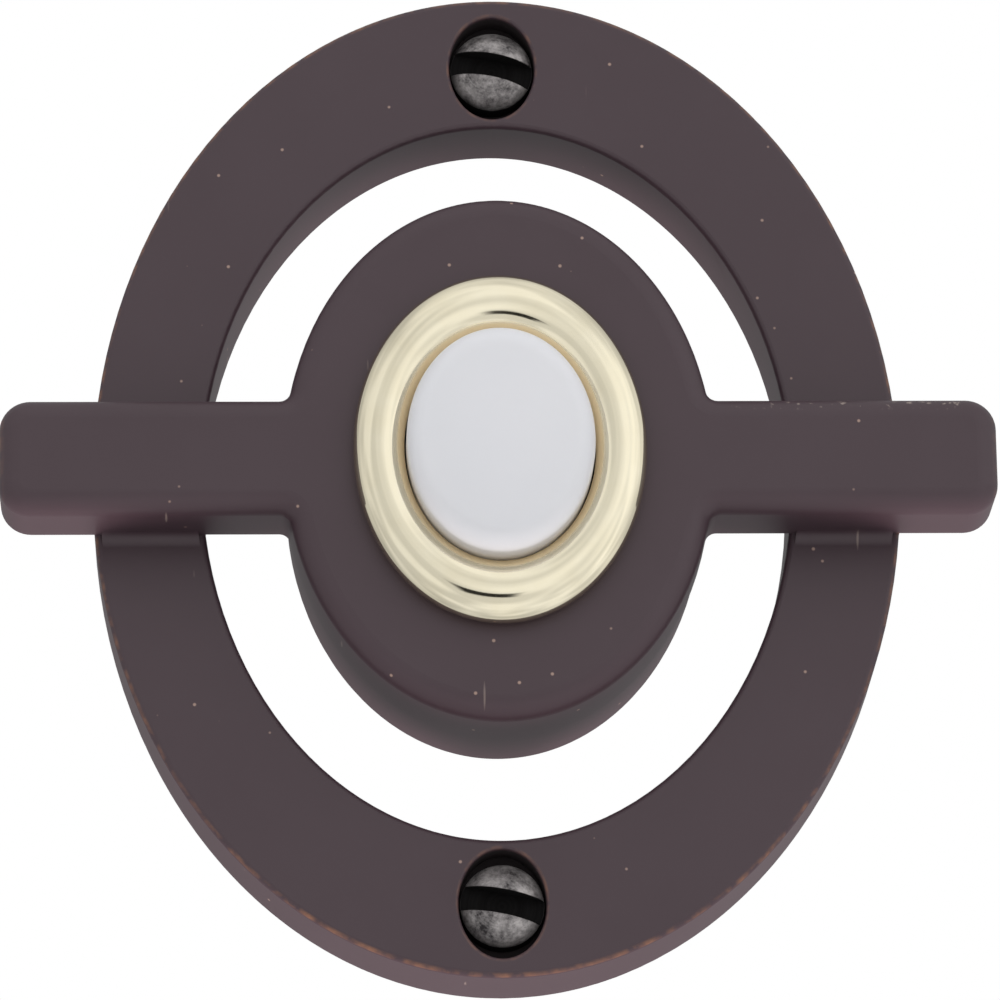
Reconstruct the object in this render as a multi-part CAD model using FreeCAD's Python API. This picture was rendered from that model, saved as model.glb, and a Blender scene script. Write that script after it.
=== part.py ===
import FreeCAD, Part
import os
import math

os.makedirs("parts", exist_ok=True)

# Doorbell push button: a one-piece cast plate with a lighted push-button unit in its hub.
# Millimetres. The wall is the plane Y = 0, the front faces -Y, +Z is up and +X is to the right.

V = FreeCAD.Vector

# Every oval of the plate is this much taller than it is wide, and those of the button unit a little less.
OVAL = 1.268
UNIT_OVAL = 1.24

# The wall plane, and the front face that the hub and the crossbar share.
WALL_Y = 0.0
PLATE_DEPTH = 13.8
FACE_Y = WALL_Y - PLATE_DEPTH

# Cast plate: ring, crossbar and hub. Half widths are along X.
RING_HALF_WIDTH = 31.7
RING_BAND = 8.6
RING_HOLE_HALF_WIDTH = RING_HALF_WIDTH - RING_BAND
RING_THICKNESS = 7.3
RING_FACE_Y = WALL_Y - RING_THICKNESS
RING_FRONT_EDGE_R = 0.45
RING_TO_HUB_GAP = 6.35
HUB_HALF_WIDTH = RING_HOLE_HALF_WIDTH - RING_TO_HUB_GAP
HUB_REAR_STEP = 0.25
BAR_OVERHANG = 7.1
BAR_LENGTH = 2 * (RING_HALF_WIDTH + BAR_OVERHANG)
BAR_HEIGHT = 9.25
BAR_END_R = 2.4
BAR_HUB_CORNER_R = 0.9
FRONT_EDGE_R = 1.7
BAR_COVE_R = 1.0
COVE_ROOT = 0.05
COVE_INSET = RING_FRONT_EDGE_R + 2 * COVE_ROOT
BACK_EDGE_R = 0.3

# Lamp on its post, and its two leads. The button unit is sized from here outwards to its thread.
LAMP_R = 1.5
LAMP_FLANGE_RIM = 0.4
LAMP_FLANGE_R = LAMP_R + LAMP_FLANGE_RIM
LAMP_FLANGE = 1.0
LAMP_LENGTH = 5.3
LAMP_POST_RIM = 0.3
LAMP_POST_R = LAMP_FLANGE_R + LAMP_POST_RIM
LEAD_R = 0.25
LEAD_CLEARANCE = 0.05
LEAD_LIFT = 0.02
LEAD_INSET = 0.23
LEAD_X = LAMP_R - LEAD_INSET

# Return spring round the lamp post.
SPRING_WIRE_R = 0.225
SPRING_TO_POST = 0.3
SPRING_COIL_R = LAMP_POST_R + SPRING_TO_POST
SPRING_TURNS = 9.0

# Terminal screws through the feet of the bent strip contacts, either side of the spring.
TERMINAL_SCREW_R = 1.3
FOOT_TO_SPRING = 0.175
FOOT_INNER_X = SPRING_COIL_R + SPRING_WIRE_R + FOOT_TO_SPRING
FOOT_EDGE = 0.55
TERMINAL_X = FOOT_INNER_X + FOOT_EDGE + TERMINAL_SCREW_R
STRIP_OUTER_X = TERMINAL_X + TERMINAL_SCREW_R + FOOT_EDGE
STRIP_EDGE = 0.3
STRIP_HALF_WIDTH = TERMINAL_SCREW_R + STRIP_EDGE
STRIP_THICKNESS = 0.5

# Barrel of the housing from the inside out: contact chamber, base bore, plain tail, thread.
STRIP_TO_CHAMBER = 0.4
CHAMBER_R = STRIP_OUTER_X + STRIP_TO_CHAMBER
BASE_LEDGE = 0.4
BASE_BORE_R = CHAMBER_R + BASE_LEDGE
SNAP_BEAD_HEIGHT = 0.2
SNAP_BEAD_WIDTH = 0.4
SNAP_BEAD_R = BASE_BORE_R - SNAP_BEAD_HEIGHT
TAIL_WALL = 1.0
TAIL_R = BASE_BORE_R + TAIL_WALL
TAIL_CHAMFER = 0.4
THREAD_DEPTH = 0.6
THREAD_R = TAIL_R + THREAD_DEPTH
BORE_CLEARANCE = 0.1
HUB_BORE_R = THREAD_R + BORE_CLEARANCE

# Oval cup of the switch housing, and its oval seat in the hub's front.
CUP_OVERHANG = 0.5
CUP_HALF_WIDTH = THREAD_R + CUP_OVERHANG
SEAT_CLEARANCE = 0.2
UNIT_SEAT_HALF_WIDTH = CUP_HALF_WIDTH + SEAT_CLEARANCE
UNIT_SEAT_DEPTH = 3.2
UNIT_SEAT_Y = FACE_Y + UNIT_SEAT_DEPTH
CUP_RIM_HEIGHT = 0.6
CUP_RIM_Y = FACE_Y - CUP_RIM_HEIGHT
CUP_WALL = 1.57
CUP_FLOOR = 1.1
WELL_HALF_WIDTH = CUP_HALF_WIDTH - CUP_WALL
WELL_FLOOR_Y = UNIT_SEAT_Y - CUP_FLOOR

# Lock nut and washer in a pocket behind the hub's web.
LOCK_WASHER_BAND = 2.6
LOCK_WASHER_R = THREAD_R + LOCK_WASHER_BAND
LOCK_WASHER_THICKNESS = 0.8
WASHER_TEETH = 12
NUT_WALL = 1.5
NUT_ACROSS_FLATS = 2 * (THREAD_R + NUT_WALL)
NUT_CORNER_R = NUT_ACROSS_FLATS / math.sqrt(3)
NUT_THICKNESS = 3.5
NUT_CLEARANCE = 0.02
NUT_SINK = 2.0
SPANNER_ROOM = 1.08
NUT_POCKET_HALF_WIDTH = NUT_CORNER_R + SPANNER_ROOM
NUT_POCKET_DEPTH = LOCK_WASHER_THICKNESS + NUT_THICKNESS + NUT_SINK
NUT_POCKET_Y = WALL_Y - NUT_POCKET_DEPTH

# Wall screws in upright oval counterbores at the top and bottom of the ring's band, a little
# nearer the hub than the band's middle.
SCREW_INSET = 0.38
SCREW_Z = OVAL * (RING_HALF_WIDTH + RING_HOLE_HALF_WIDTH) / 2 - SCREW_INSET
SCREW_HEAD_R = 3.25
SCREW_HEAD_SIDE = 1.75
SCREW_DOME_HEIGHT = 1.75
SCREW_SLOT_WIDTH = 1.95
SCREW_SLOT_DEPTH = 2.0
SCREW_SLOT_TILT = 11.0
SCREW_LENGTH = 16.0
SCREW_SHANK_R = 1.75
SCREW_CORE_R = 1.2
SCREW_TIP_R = 0.15
SCREW_POINT_LENGTH = 3.0
HEAD_GAP = 0.15
COUNTERBORE_HALF_WIDTH = SCREW_HEAD_R + HEAD_GAP
COUNTERBORE_DEPTH = 2.6
COUNTERBORE_Y = RING_FACE_Y + COUNTERBORE_DEPTH
COUNTERBORE_EDGE_R = 0.25
SHANK_GAP = 0.2
SCREW_HOLE_HALF_WIDTH = SCREW_SHANK_R + SHANK_GAP

# Button travel, and the running clearance of the plunger in its guide.
TRAVEL = 1.3
RUNNING = 0.08

# Lengths along the barrel: guide, contact chamber, terminal base and the guard behind it.
GUIDE_LENGTH = 6.0
CHAMBER_FRONT_Y = WELL_FLOOR_Y + GUIDE_LENGTH
CHAMBER_DEPTH = 9.2
BASE_SEAT_Y = CHAMBER_FRONT_Y + CHAMBER_DEPTH
BASE_THICKNESS = 3.0
BASE_BACK_Y = BASE_SEAT_Y + BASE_THICKNESS
TAIL_GUARD = 3.0
TAIL_END_Y = BASE_BACK_Y + TAIL_GUARD

# Bezel: spun from sheet, its sleeve pressed into the cup's mouth.
BEZEL_SHEET = 0.48
BEZEL_FIT = 0.02
BEZEL_HEIGHT = 2.5
BEZEL_WIDTH = 3.95
BEZEL_ROLL_HALF_WIDTH = 2.07
BEZEL_ROLL_LIFT = 1.0
BEZEL_LIP_ANGLE = 40.2
BEZEL_SLOPE_END_HEIGHT = 1.35
BEZEL_SLOPE_BACK_HEIGHT = 1.13
BEZEL_SLEEVE_HALF_WIDTH = WELL_HALF_WIDTH - BEZEL_FIT - BEZEL_SHEET
BEZEL_SLEEVE_DEPTH = 1.0

# Cap: oval dome. Heights are in front of the hub's face.
CAP_GAP = 0.13
CAP_HALF_WIDTH = BEZEL_SLEEVE_HALF_WIDTH - CAP_GAP
CAP_PROUD = 2.5
CAP_CROWN_HEIGHT = BEZEL_HEIGHT + CAP_PROUD
CAP_CROWN_RISE = 0.38
CAP_EDGE_R = 1.5
CAP_SKIRT_END_HEIGHT = 0.4
CAP_WALL = 1.1
CAP_INSIDE_Y = FACE_Y - CAP_CROWN_HEIGHT + CAP_WALL

# Plunger: tube in the cap's socket, running in the guide.
CAP_TO_PLUNGER = 2.3
PLUNGER_R = CAP_HALF_WIDTH - CAP_TO_PLUNGER
PLUNGER_WALL = 1.3
PLUNGER_BORE_R = PLUNGER_R - PLUNGER_WALL
PLUNGER_STEP = 0.6
PLUNGER_TAIL_R = PLUNGER_R - PLUNGER_STEP
PLUNGER_TAIL_LENGTH = 1.3
LIGHT_HOLE_GAP = 0.5
LIGHT_HOLE_R = LAMP_R + LIGHT_HOLE_GAP
SPRING_LEDGE = 1.0
SPRING_LEDGE_SETBACK = 3.0
SPRING_FRONT_Y = CAP_INSIDE_Y + SPRING_LEDGE_SETBACK
GUIDE_R = PLUNGER_R + RUNNING
CAP_SOCKET_WALL = 1.3
CAP_SOCKET_R = PLUNGER_R + CAP_SOCKET_WALL
CAP_SOCKET_CLEARANCE = 0.03

# Contact ring and push-on ring on the plunger's tail, and the pads of the strip contacts.
CHAMBER_GAP = 0.3
CONTACT_RING_R = CHAMBER_R - CHAMBER_GAP
CONTACT_RING_THICKNESS = 0.5
RING_HOLE_CLEARANCE = 0.03
PAD_WIDTH = 0.9
PAD_INNER_X = STRIP_OUTER_X - PAD_WIDTH
PUSH_RING_GAP = 0.3
PUSH_RING_R = PAD_INNER_X - PUSH_RING_GAP
PUSH_RING_THICKNESS = 0.4

# Height of the lamp's post, and the series resistor behind the base.
LAMP_POST_LENGTH = 10.5
LAMP_POST_Y = BASE_SEAT_Y - LAMP_POST_LENGTH
RESISTOR_R = 0.8
RESISTOR_WAIST_R = 0.68
RESISTOR_END = 0.8
RESISTOR_LENGTH = 3.2
RESISTOR_TO_RIM = 1.75
RESISTOR_LEAD_DROP = 0.55
RESISTOR_LEAD_INSET = 0.25

# Terminal base, and the heads and square clamp washers of its screws.
BASE_CLEARANCE = 0.05
BASE_R = BASE_BORE_R - BASE_CLEARANCE
TERMINAL_HOLE_R = TERMINAL_SCREW_R + BASE_CLEARANCE
HEAD_OVERHANG = 0.9
TERMINAL_HEAD_R = TERMINAL_SCREW_R + HEAD_OVERHANG
TERMINAL_HEAD_HEIGHT = 1.6
TERMINAL_HEAD_EDGE_R = 0.6
TERMINAL_SLOT_WIDTH = 0.7
TERMINAL_SLOT_DEPTH = 0.8
TERMINAL_SLOT_TILT = 25.0
TERMINAL_TIP_BEYOND_FOOT = 1.1
TERMINAL_TIP_CHAMFER = 0.25
TERMINAL_TIP_Y = BASE_SEAT_Y - STRIP_THICKNESS - TERMINAL_TIP_BEYOND_FOOT
CLAMP_WASHER_INSET = 0.2
CLAMP_WASHER_SIDE = 2 * (TERMINAL_HEAD_R - CLAMP_WASHER_INSET)
CLAMP_WASHER_THICKNESS = 0.6
RESISTOR_TOP_Z = RESISTOR_LENGTH + RESISTOR_TO_RIM - BASE_R
RESISTOR_LEAD_X = CLAMP_WASHER_SIDE / 2 - TERMINAL_X - RESISTOR_LEAD_INSET


def write_part(name, shape):
    shape.exportStep("parts/" + name + ".step")


def oval_prism(half_width, y_start, y_end, oval=OVAL):
    ellipse = Part.Ellipse(V(0, y_start, half_width * oval), V(half_width, y_start, 0), V(0, y_start, 0))
    face = Part.Face(Part.Wire([ellipse.toShape()]))
    return face.extrude(V(0, y_end - y_start, 0))


def cylinder(radius, y_start, y_end, x=0.0, z=0.0):
    return Part.makeCylinder(radius, y_end - y_start, V(x, y_start, z), V(0, 1, 0))


def block(x_low, x_high, y_low, y_high, z_low, z_high):
    return Part.makeBox(x_high - x_low, y_high - y_low, z_high - z_low, V(x_low, y_low, z_low))


def turned(edges):
    # Solid of revolution about the Y axis from a closed profile drawn in the X-Y plane.
    face = Part.Face(Part.Wire(edges))
    return face.revolve(V(0, 0, 0), V(0, 1, 0), 360)


def made_oval(shape):
    # Stretches a round form along Z into the button unit's oval.
    stretch = FreeCAD.Matrix()
    stretch.A33 = UNIT_OVAL
    return shape.transformGeometry(stretch)


def line(start, end):
    return Part.LineSegment(start, end).toShape()


def arc(start, middle, end):
    return Part.Arc(start, middle, end).toShape()


def is_close(value, target):
    return abs(value - target) < 0.02


def front_tier():
    # Hub front and crossbar in one outline, with one rounded front edge all round.
    hub = oval_prism(HUB_HALF_WIDTH, FACE_Y, RING_FACE_Y)
    half_length = BAR_LENGTH / 2
    half_height = BAR_HEIGHT / 2
    bar = block(-half_length, half_length, FACE_Y, RING_FACE_Y, -half_height, half_height)
    tier = hub.fuse(bar).removeSplitter()
    end_corners = []
    for edge in tier.Edges:
        middle = edge.CenterOfMass
        if is_close(abs(middle.x), half_length) and is_close(abs(middle.z), half_height):
            end_corners.append(edge)
    tier = tier.makeFillet(BAR_END_R, end_corners)
    hub_corners = []
    for edge in tier.Edges:
        upright = is_close(edge.Length, RING_FACE_Y - FACE_Y)
        if upright and RING_HOLE_HALF_WIDTH / 2 < abs(edge.CenterOfMass.x) < RING_HOLE_HALF_WIDTH:
            hub_corners.append(edge)
    tier = tier.makeFillet(BAR_HUB_CORNER_R, hub_corners)
    outline = [edge for edge in tier.Edges if is_close(edge.BoundBox.YMax, FACE_Y)]
    return tier.makeFillet(FRONT_EDGE_R, outline)


def oval_ring(y_start, y_end):
    ring = oval_prism(RING_HALF_WIDTH, y_start, y_end)
    return ring.cut(oval_prism(RING_HOLE_HALF_WIDTH, y_start - 1, y_end + 1))


def bar_footing():
    # The ring's square-edged stretch that carries the crossbar.
    half_length = BAR_LENGTH / 2
    half_height = BAR_HEIGHT / 2
    under_bar = block(-half_length, half_length, RING_FACE_Y - 1, WALL_Y, -half_height, half_height)
    return oval_ring(RING_FACE_Y, RING_FACE_Y + 2 * RING_FRONT_EDGE_R).common(under_bar)


def ring_edges(shape, y):
    # The long arcs of the ring and of its hole that lie in the plane at y.
    found = []
    for edge in shape.Edges:
        box = edge.BoundBox
        in_plane = is_close(box.YMin, y) and is_close(box.YMax, y)
        if in_plane and max(box.ZMax, -box.ZMin) > HUB_HALF_WIDTH * OVAL + 1.0:
            found.append(edge)
    return found


def bar_cove(side, up):
    # Cove between the crossbar's long side and the ring's face.
    z_root = BAR_HEIGHT / 2 - COVE_ROOT
    y_root = RING_FACE_Y + COVE_ROOT
    reach = BAR_COVE_R + COVE_ROOT
    x_low = RING_HOLE_HALF_WIDTH * 0.9
    strip = block(x_low, RING_HALF_WIDTH, y_root - reach, y_root, z_root, z_root + reach)
    rounding_y = RING_FACE_Y - BAR_COVE_R
    rounding_z = BAR_HEIGHT / 2 + BAR_COVE_R
    rounding = Part.makeCylinder(BAR_COVE_R, RING_HALF_WIDTH, V(x_low, rounding_y, rounding_z), V(1, 0, 0))
    strip = strip.cut(rounding)
    band = oval_prism(RING_HALF_WIDTH - COVE_INSET, FACE_Y, WALL_Y)
    band = band.cut(oval_prism(RING_HOLE_HALF_WIDTH + COVE_INSET, FACE_Y, WALL_Y))
    strip = strip.common(band)
    if side < 0:
        strip = strip.mirror(V(0, 0, 0), V(1, 0, 0))
    if up < 0:
        strip = strip.mirror(V(0, 0, 0), V(0, 0, 1))
    return strip


def screw_recess(z):
    # Upright oval counterbore with a softened mouth, and the oval hole below it.
    recess = oval_prism(COUNTERBORE_HALF_WIDTH, RING_FACE_Y - 1.0, COUNTERBORE_Y)
    hole = oval_prism(SCREW_HOLE_HALF_WIDTH, COUNTERBORE_Y - 0.5, WALL_Y + 1.0)
    cutter = recess.fuse(hole)
    cutter.translate(V(0, 0, z))
    return cutter


def finished_ring():
    # Ring with its softened edges and the recesses of the wall screws.
    ring = oval_ring(RING_FACE_Y, WALL_Y)
    ring = ring.makeFillet(RING_FRONT_EDGE_R, ring_edges(ring, RING_FACE_Y))
    ring = ring.makeFillet(BACK_EDGE_R, ring_edges(ring, WALL_Y))
    ring = ring.cut([screw_recess(SCREW_Z), screw_recess(-SCREW_Z)])
    mouths = []
    for edge in ring.Edges:
        box = edge.BoundBox
        narrow = is_close(box.XMax, COUNTERBORE_HALF_WIDTH)
        if narrow and is_close(box.YMin, RING_FACE_Y) and is_close(box.YMax, RING_FACE_Y):
            mouths.append(edge)
    return ring.makeFillet(COUNTERBORE_EDGE_R, mouths)


def hub_rear():
    # The hub's rear tier, a little smaller than its front.
    rear = oval_prism(HUB_HALF_WIDTH - HUB_REAR_STEP, RING_FACE_Y, WALL_Y)
    outline = [edge for edge in rear.Edges if is_close(edge.BoundBox.YMin, WALL_Y)]
    return rear.makeFillet(BACK_EDGE_R, outline)


def plate():
    body = front_tier().fuse(hub_rear()).fuse(bar_footing()).fuse(finished_ring())
    for side in (-1, 1):
        for up in (-1, 1):
            body = body.fuse(bar_cove(side, up))
    seat = oval_prism(UNIT_SEAT_HALF_WIDTH, FACE_Y - 1, UNIT_SEAT_Y, UNIT_OVAL)
    bore = cylinder(HUB_BORE_R, UNIT_SEAT_Y - 0.5, NUT_POCKET_Y + 0.5)
    pocket = oval_prism(NUT_POCKET_HALF_WIDTH, NUT_POCKET_Y, WALL_Y + 1)
    return body.cut([seat, bore, pocket])


def dome(radius, height, y_rim):
    # Shallow spherical cap whose rim lies at y_rim and whose top is towards -Y.
    sphere_r = (radius * radius + height * height) / (2 * height)
    top_y = y_rim - height
    half = math.asin(radius / sphere_r) / 2
    centre_y = top_y + sphere_r
    middle = V(sphere_r * math.sin(half), centre_y - sphere_r * math.cos(half), 0)
    edges = [arc(V(0, top_y, 0), middle, V(radius, y_rim, 0))]
    edges.append(line(V(radius, y_rim, 0), V(0, y_rim, 0)))
    edges.append(line(V(0, y_rim, 0), V(0, top_y, 0)))
    return turned(edges)


def wall_screw(z):
    # Slotted round-head wood screw: plain shank through the plate, then the core of its thread.
    rim_y = COUNTERBORE_Y - SCREW_HEAD_SIDE
    head = cylinder(SCREW_HEAD_R, rim_y, COUNTERBORE_Y).fuse(dome(SCREW_HEAD_R, SCREW_DOME_HEIGHT, rim_y))
    top_y = rim_y - SCREW_DOME_HEIGHT
    reach = SCREW_HEAD_R + 1
    half_slot = SCREW_SLOT_WIDTH / 2
    slot = block(-reach, reach, top_y - 1, top_y + SCREW_SLOT_DEPTH, -half_slot, half_slot)
    slot.rotate(V(0, 0, 0), V(0, 1, 0), SCREW_SLOT_TILT)
    head = head.cut(slot)
    tip_y = COUNTERBORE_Y + SCREW_LENGTH
    point_y = tip_y - SCREW_POINT_LENGTH
    shank = cylinder(SCREW_SHANK_R, COUNTERBORE_Y - 0.5, WALL_Y)
    core = cylinder(SCREW_CORE_R, WALL_Y - 0.5, point_y)
    point = Part.makeCone(SCREW_CORE_R, SCREW_TIP_R, SCREW_POINT_LENGTH, V(0, point_y, 0), V(0, 1, 0))
    screw = head.fuse([shank, core, point]).removeSplitter()
    screw.translate(V(0, 0, z))
    return screw


def roll_arc(centre_x, half_width, half_height):
    # Arc of the rolled section from the foot round the widest place and the crest to the lip.
    centre_y = FACE_Y - BEZEL_ROLL_LIFT
    widest = V(centre_x + half_width, centre_y, 0)
    crest = V(centre_x, centre_y - half_height, 0)
    roll = Part.Ellipse(widest, crest, V(centre_x, centre_y, 0))
    foot_angle = -math.asin(BEZEL_ROLL_LIFT / half_height)
    lip_angle = math.pi / 2 + math.radians(BEZEL_LIP_ANGLE)
    ends = []
    for angle in (foot_angle, lip_angle):
        ends.append(V(centre_x + half_width * math.cos(angle), centre_y - half_height * math.sin(angle), 0))
    return Part.ArcOfEllipse(roll, foot_angle, lip_angle).toShape(), ends[0], ends[1]


def bezel():
    # Spun brass ring: rolled from the foot over the crest to the lip, inner slope and a short sleeve.
    inner = BEZEL_SLEEVE_HALF_WIDTH
    outer = inner + BEZEL_SHEET
    sleeve_y = FACE_Y + BEZEL_SLEEVE_DEPTH
    centre_x = inner + BEZEL_WIDTH - BEZEL_ROLL_HALF_WIDTH
    half_height = BEZEL_HEIGHT - BEZEL_ROLL_LIFT
    outside, foot, lip = roll_arc(centre_x, BEZEL_ROLL_HALF_WIDTH, half_height)
    roll_inside = BEZEL_ROLL_HALF_WIDTH - BEZEL_SHEET
    inside, foot_inside, lip_inside = roll_arc(centre_x, roll_inside, half_height - BEZEL_SHEET)
    slope_end = V(inner, FACE_Y - BEZEL_SLOPE_END_HEIGHT, 0)
    slope_back = V(outer, FACE_Y - BEZEL_SLOPE_BACK_HEIGHT, 0)
    edges = [outside, line(lip, slope_end)]
    edges.append(line(slope_end, V(inner, sleeve_y, 0)))
    edges.append(line(V(inner, sleeve_y, 0), V(outer, sleeve_y, 0)))
    edges.append(line(V(outer, sleeve_y, 0), slope_back))
    edges.append(line(slope_back, lip_inside))
    edges.append(inside)
    edges.append(line(foot_inside, foot))
    return made_oval(turned(edges))


def button_cap():
    # Moulded translucent cap: oval dome and skirt, with a round socket inside for the plunger.
    crown_y = FACE_Y - CAP_CROWN_HEIGHT
    shoulder_y = crown_y + CAP_CROWN_RISE
    skirt_y = FACE_Y - CAP_SKIRT_END_HEIGHT
    half = CAP_HALF_WIDTH
    flat_x = half - CAP_EDGE_R
    corner_y = shoulder_y + CAP_EDGE_R
    inside = half - CAP_WALL
    diagonal = CAP_EDGE_R * math.sqrt(0.5)
    crown_mid = V(flat_x / 2, crown_y + CAP_CROWN_RISE / 4, 0)
    edges = [arc(V(0, crown_y, 0), crown_mid, V(flat_x, shoulder_y, 0))]
    corner_mid = V(flat_x + diagonal, corner_y - diagonal, 0)
    edges.append(arc(V(flat_x, shoulder_y, 0), corner_mid, V(half, corner_y, 0)))
    edges.append(line(V(half, corner_y, 0), V(half, skirt_y, 0)))
    edges.append(line(V(half, skirt_y, 0), V(inside, skirt_y, 0)))
    edges.append(line(V(inside, skirt_y, 0), V(inside, CAP_INSIDE_Y, 0)))
    edges.append(line(V(inside, CAP_INSIDE_Y, 0), V(0, CAP_INSIDE_Y, 0)))
    edges.append(line(V(0, CAP_INSIDE_Y, 0), V(0, crown_y, 0)))
    shell = made_oval(turned(edges))
    socket = cylinder(CAP_SOCKET_R, CAP_INSIDE_Y - 0.2, skirt_y)
    socket_hole = cylinder(PLUNGER_R + CAP_SOCKET_CLEARANCE, CAP_INSIDE_Y, skirt_y + 1)
    return shell.fuse(socket).cut(socket_hole)


def plunger():
    # Tube that carries the cap in front and the contact ring on its reduced tail.
    tail_end_y = CHAMBER_FRONT_Y + PLUNGER_TAIL_LENGTH
    tube = cylinder(PLUNGER_R, CAP_INSIDE_Y, CHAMBER_FRONT_Y)
    tube = tube.fuse(cylinder(PLUNGER_TAIL_R, CHAMBER_FRONT_Y - 0.5, tail_end_y))
    ledge_back_y = SPRING_FRONT_Y
    ledge_front_y = ledge_back_y - SPRING_LEDGE
    rear_bore = cylinder(PLUNGER_BORE_R, ledge_back_y, tail_end_y + 1)
    front_bore = cylinder(PLUNGER_BORE_R, CAP_INSIDE_Y - 1, ledge_front_y)
    light_hole = cylinder(LIGHT_HOLE_R, ledge_front_y - 0.5, ledge_back_y + 0.5)
    return tube.cut([rear_bore, front_bore, light_hole]).removeSplitter()


def switch_housing():
    # Moulded housing: oval cup with the cap's well, guide bore, contact chamber and base seat.
    cup = oval_prism(CUP_HALF_WIDTH, CUP_RIM_Y, UNIT_SEAT_Y, UNIT_OVAL)
    threaded = cylinder(THREAD_R, UNIT_SEAT_Y - 0.5, WALL_Y)
    tail = cylinder(TAIL_R, WALL_Y - 0.5, TAIL_END_Y)
    tail_rim = [edge for edge in tail.Edges if is_close(edge.BoundBox.YMin, TAIL_END_Y)]
    tail = tail.makeChamfer(TAIL_CHAMFER, tail_rim)
    body = cup.fuse([threaded, tail]).removeSplitter()
    well = oval_prism(WELL_HALF_WIDTH, CUP_RIM_Y - 1, WELL_FLOOR_Y, UNIT_OVAL)
    guide = cylinder(GUIDE_R, WELL_FLOOR_Y - 0.5, CHAMBER_FRONT_Y + 0.5)
    chamber = cylinder(CHAMBER_R, CHAMBER_FRONT_Y, BASE_SEAT_Y + 0.5)
    base_bore = cylinder(BASE_BORE_R, BASE_SEAT_Y, TAIL_END_Y + 1)
    body = body.cut([well, guide, chamber, base_bore])
    bead = cylinder(BASE_BORE_R + TAIL_WALL / 2, BASE_BACK_Y, BASE_BACK_Y + SNAP_BEAD_WIDTH)
    bead = bead.cut(cylinder(SNAP_BEAD_R, BASE_BACK_Y - 1, BASE_BACK_Y + 2))
    return body.fuse(bead).removeSplitter()


def lock_washer():
    # Internal-tooth washer, shown with its teeth pressed flat.
    front_y = NUT_POCKET_Y
    washer = cylinder(LOCK_WASHER_R, front_y, front_y + LOCK_WASHER_THICKNESS)
    washer = washer.cut(cylinder(THREAD_R + NUT_CLEARANCE, front_y - 1, front_y + 2))
    gap_end = THREAD_R + LOCK_WASHER_BAND / 2
    half_gap = LOCK_WASHER_BAND / 5
    gaps = []
    for index in range(WASHER_TEETH):
        gap = block(THREAD_R - 0.5, gap_end, front_y - 1, front_y + 2, -half_gap, half_gap)
        gap.rotate(V(0, 0, 0), V(0, 1, 0), 360.0 * index / WASHER_TEETH)
        gaps.append(gap)
    return washer.cut(gaps)


def lock_nut():
    # Thin hexagonal nut with both faces' corners turned back.
    front_y = NUT_POCKET_Y + LOCK_WASHER_THICKNESS
    back_y = front_y + NUT_THICKNESS
    corner_r = NUT_CORNER_R
    points = []
    for index in range(7):
        angle = math.radians(60 * index)
        points.append(V(corner_r * math.cos(angle), front_y, corner_r * math.sin(angle)))
    hexagon = Part.Face(Part.makePolygon(points)).extrude(V(0, NUT_THICKNESS, 0))
    flat_r = NUT_ACROSS_FLATS / 2
    cut_back = (corner_r - flat_r) * math.tan(math.radians(30))
    edges = [line(V(0, front_y, 0), V(flat_r, front_y, 0))]
    edges.append(line(V(flat_r, front_y, 0), V(corner_r, front_y + cut_back, 0)))
    edges.append(line(V(corner_r, front_y + cut_back, 0), V(corner_r, back_y - cut_back, 0)))
    edges.append(line(V(corner_r, back_y - cut_back, 0), V(flat_r, back_y, 0)))
    edges.append(line(V(flat_r, back_y, 0), V(0, back_y, 0)))
    edges.append(line(V(0, back_y, 0), V(0, front_y, 0)))
    nut = hexagon.common(turned(edges))
    return nut.cut(cylinder(THREAD_R + NUT_CLEARANCE, front_y - 1, back_y + 1))


def contact_ring():
    back_y = CHAMBER_FRONT_Y + CONTACT_RING_THICKNESS
    ring = cylinder(CONTACT_RING_R, CHAMBER_FRONT_Y, back_y)
    return ring.cut(cylinder(PLUNGER_TAIL_R + RING_HOLE_CLEARANCE, CHAMBER_FRONT_Y - 1, back_y + 1))


def push_ring():
    # Push-on ring that holds the contact ring on the plunger's tail.
    front_y = CHAMBER_FRONT_Y + CONTACT_RING_THICKNESS
    back_y = front_y + PUSH_RING_THICKNESS
    ring = cylinder(PUSH_RING_R, front_y, back_y)
    return ring.cut(cylinder(PLUNGER_TAIL_R + RING_HOLE_CLEARANCE, front_y - 1, back_y + 1))


def fixed_contact(side):
    # Strip bent three times: pad under the contact ring, riser, and a foot on the base.
    pad_y = CHAMBER_FRONT_Y + CONTACT_RING_THICKNESS + TRAVEL
    half = STRIP_HALF_WIDTH
    riser = block(STRIP_OUTER_X - STRIP_THICKNESS, STRIP_OUTER_X, pad_y, BASE_SEAT_Y, -half, half)
    pad = block(PAD_INNER_X, STRIP_OUTER_X, pad_y, pad_y + STRIP_THICKNESS, -half, half)
    foot = block(FOOT_INNER_X, STRIP_OUTER_X, BASE_SEAT_Y - STRIP_THICKNESS, BASE_SEAT_Y, -half, half)
    strip = riser.fuse([pad, foot]).removeSplitter()
    hole_r = TERMINAL_SCREW_R + NUT_CLEARANCE
    strip = strip.cut(cylinder(hole_r, BASE_SEAT_Y - 2, BASE_SEAT_Y + 1, TERMINAL_X))
    if side < 0:
        strip = strip.mirror(V(0, 0, 0), V(1, 0, 0))
    return strip


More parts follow.
